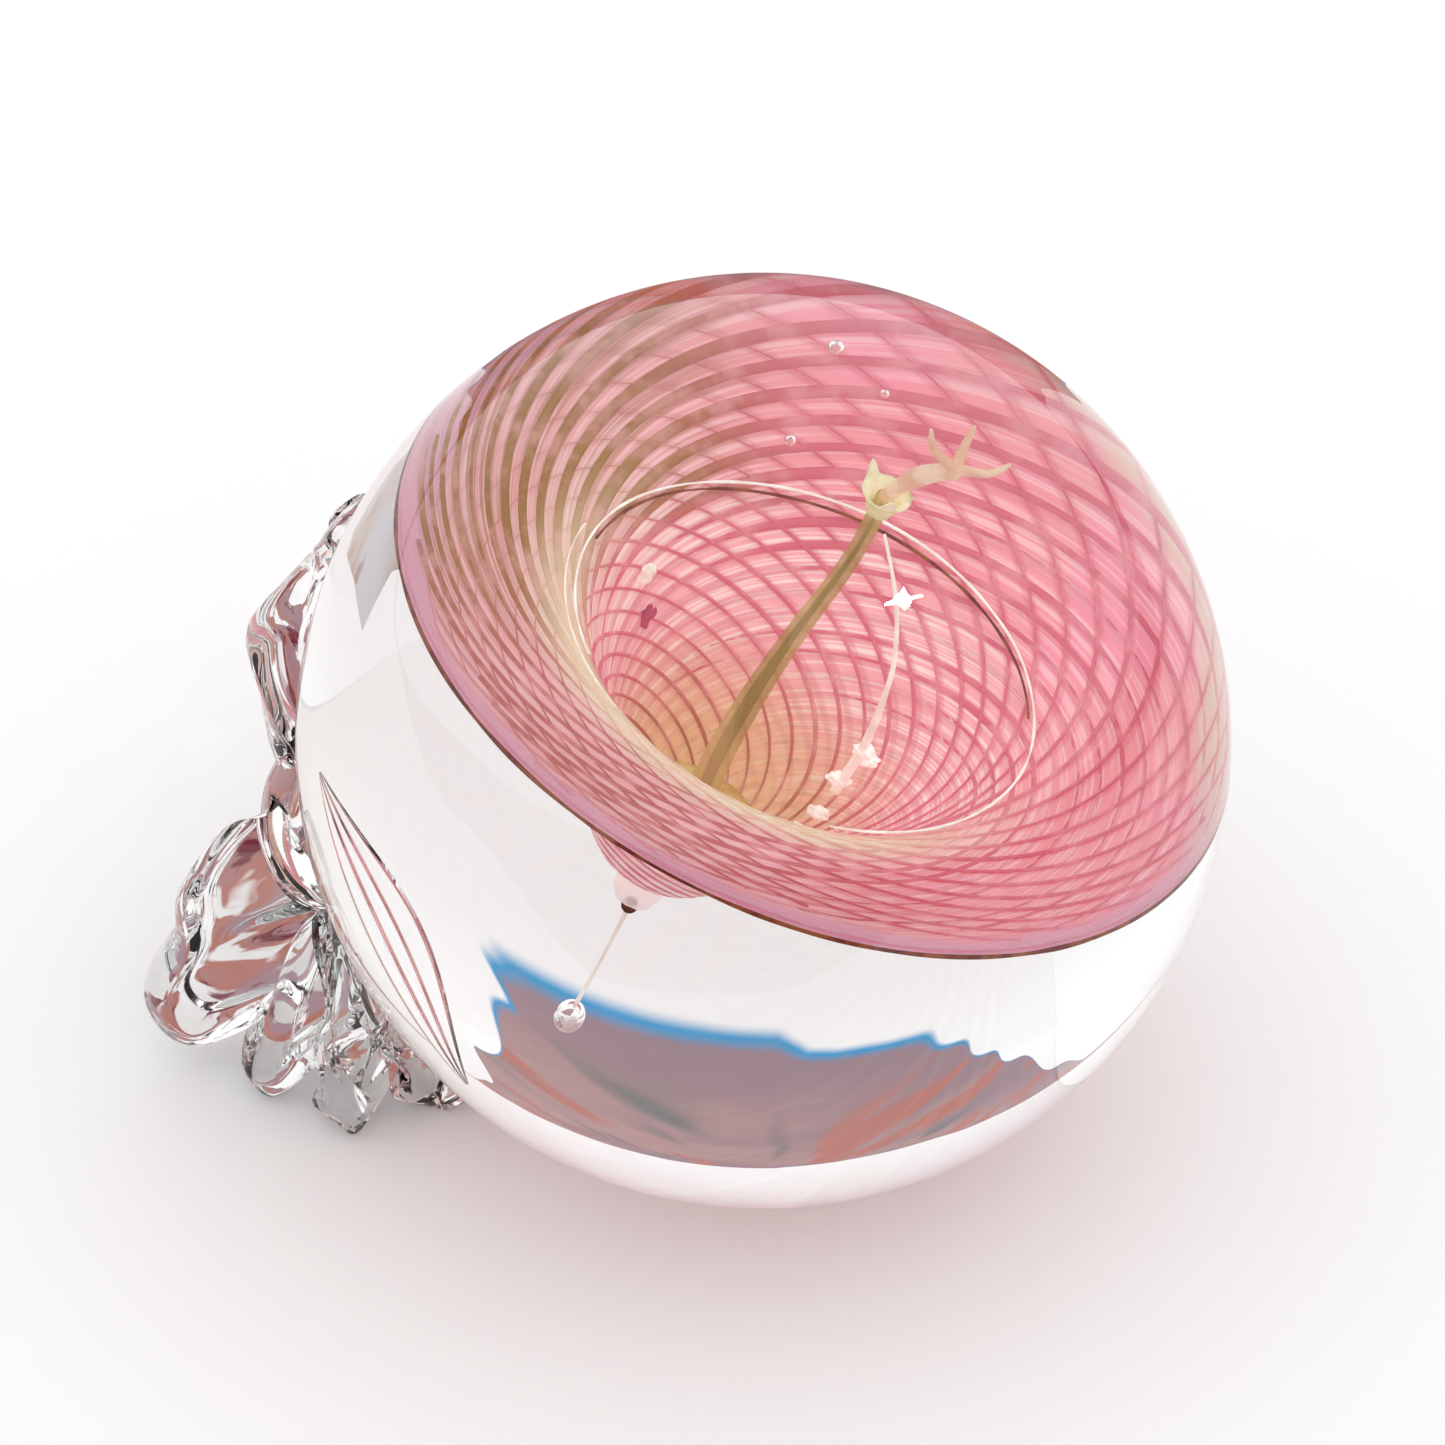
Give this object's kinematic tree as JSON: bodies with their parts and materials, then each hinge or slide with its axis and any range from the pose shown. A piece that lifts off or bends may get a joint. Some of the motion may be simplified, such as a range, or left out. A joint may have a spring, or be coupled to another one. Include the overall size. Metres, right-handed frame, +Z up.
{
  "type": "glass paperweight",
  "caption": "Solid glass ball paperweight with an encased pink trumpet flower, a pistil, and a crimped clear glass foot applied to one side.",
  "frame": {"origin": "centre of the ground flat under the ball", "axes": "+Z up from the surface it rests on, -X towards the crimped foot, so the flower leans towards +X"},
  "size_m": [0.0894, 0.076, 0.0733],
  "materials": {
    "clear_glass": "fire polished",
    "rose_glass": "smooth, encased",
    "pale_pink_glass": "smooth, encased",
    "brown_rose_cane": "smooth, encased",
    "deep_pink_cane": "smooth, encased",
    "white_enamel": "smooth, encased",
    "dark_red_cane": "smooth, encased",
    "yellow_green_glass": "smooth, encased",
    "olive_glass": "smooth, encased",
    "pale_green_glass": "smooth, encased",
    "cream_glass": "smooth, encased",
    "pink_white_glass": "smooth, encased"
  },
  "bodies": {
    "root": {"base_gather": "clear_glass", "crown_gather": "clear_glass", "corolla_outer_layer": "rose_glass", "corolla_inner_layer": "pale_pink_glass", "outer_cane_cage": "brown_rose_cane", "inner_cane_cage": "deep_pink_cane", "mouth_lip_thread": "white_enamel", "rim_thread": "dark_red_cane", "throat_bit": "yellow_green_glass", "pistil_stem": "olive_glass", "pistil_collar": "pale_green_glass", "pistil_neck": "cream_glass", "stigma": "cream_glass", "throat_thread": "white_enamel", "funnel_tip_drop": "pink_white_glass", "tail_thread": "white_enamel", "neck_knop": "clear_glass", "ruffled_foot": "clear_glass", "leaf_bit": "clear_glass"}
  },
  "joints": []
}
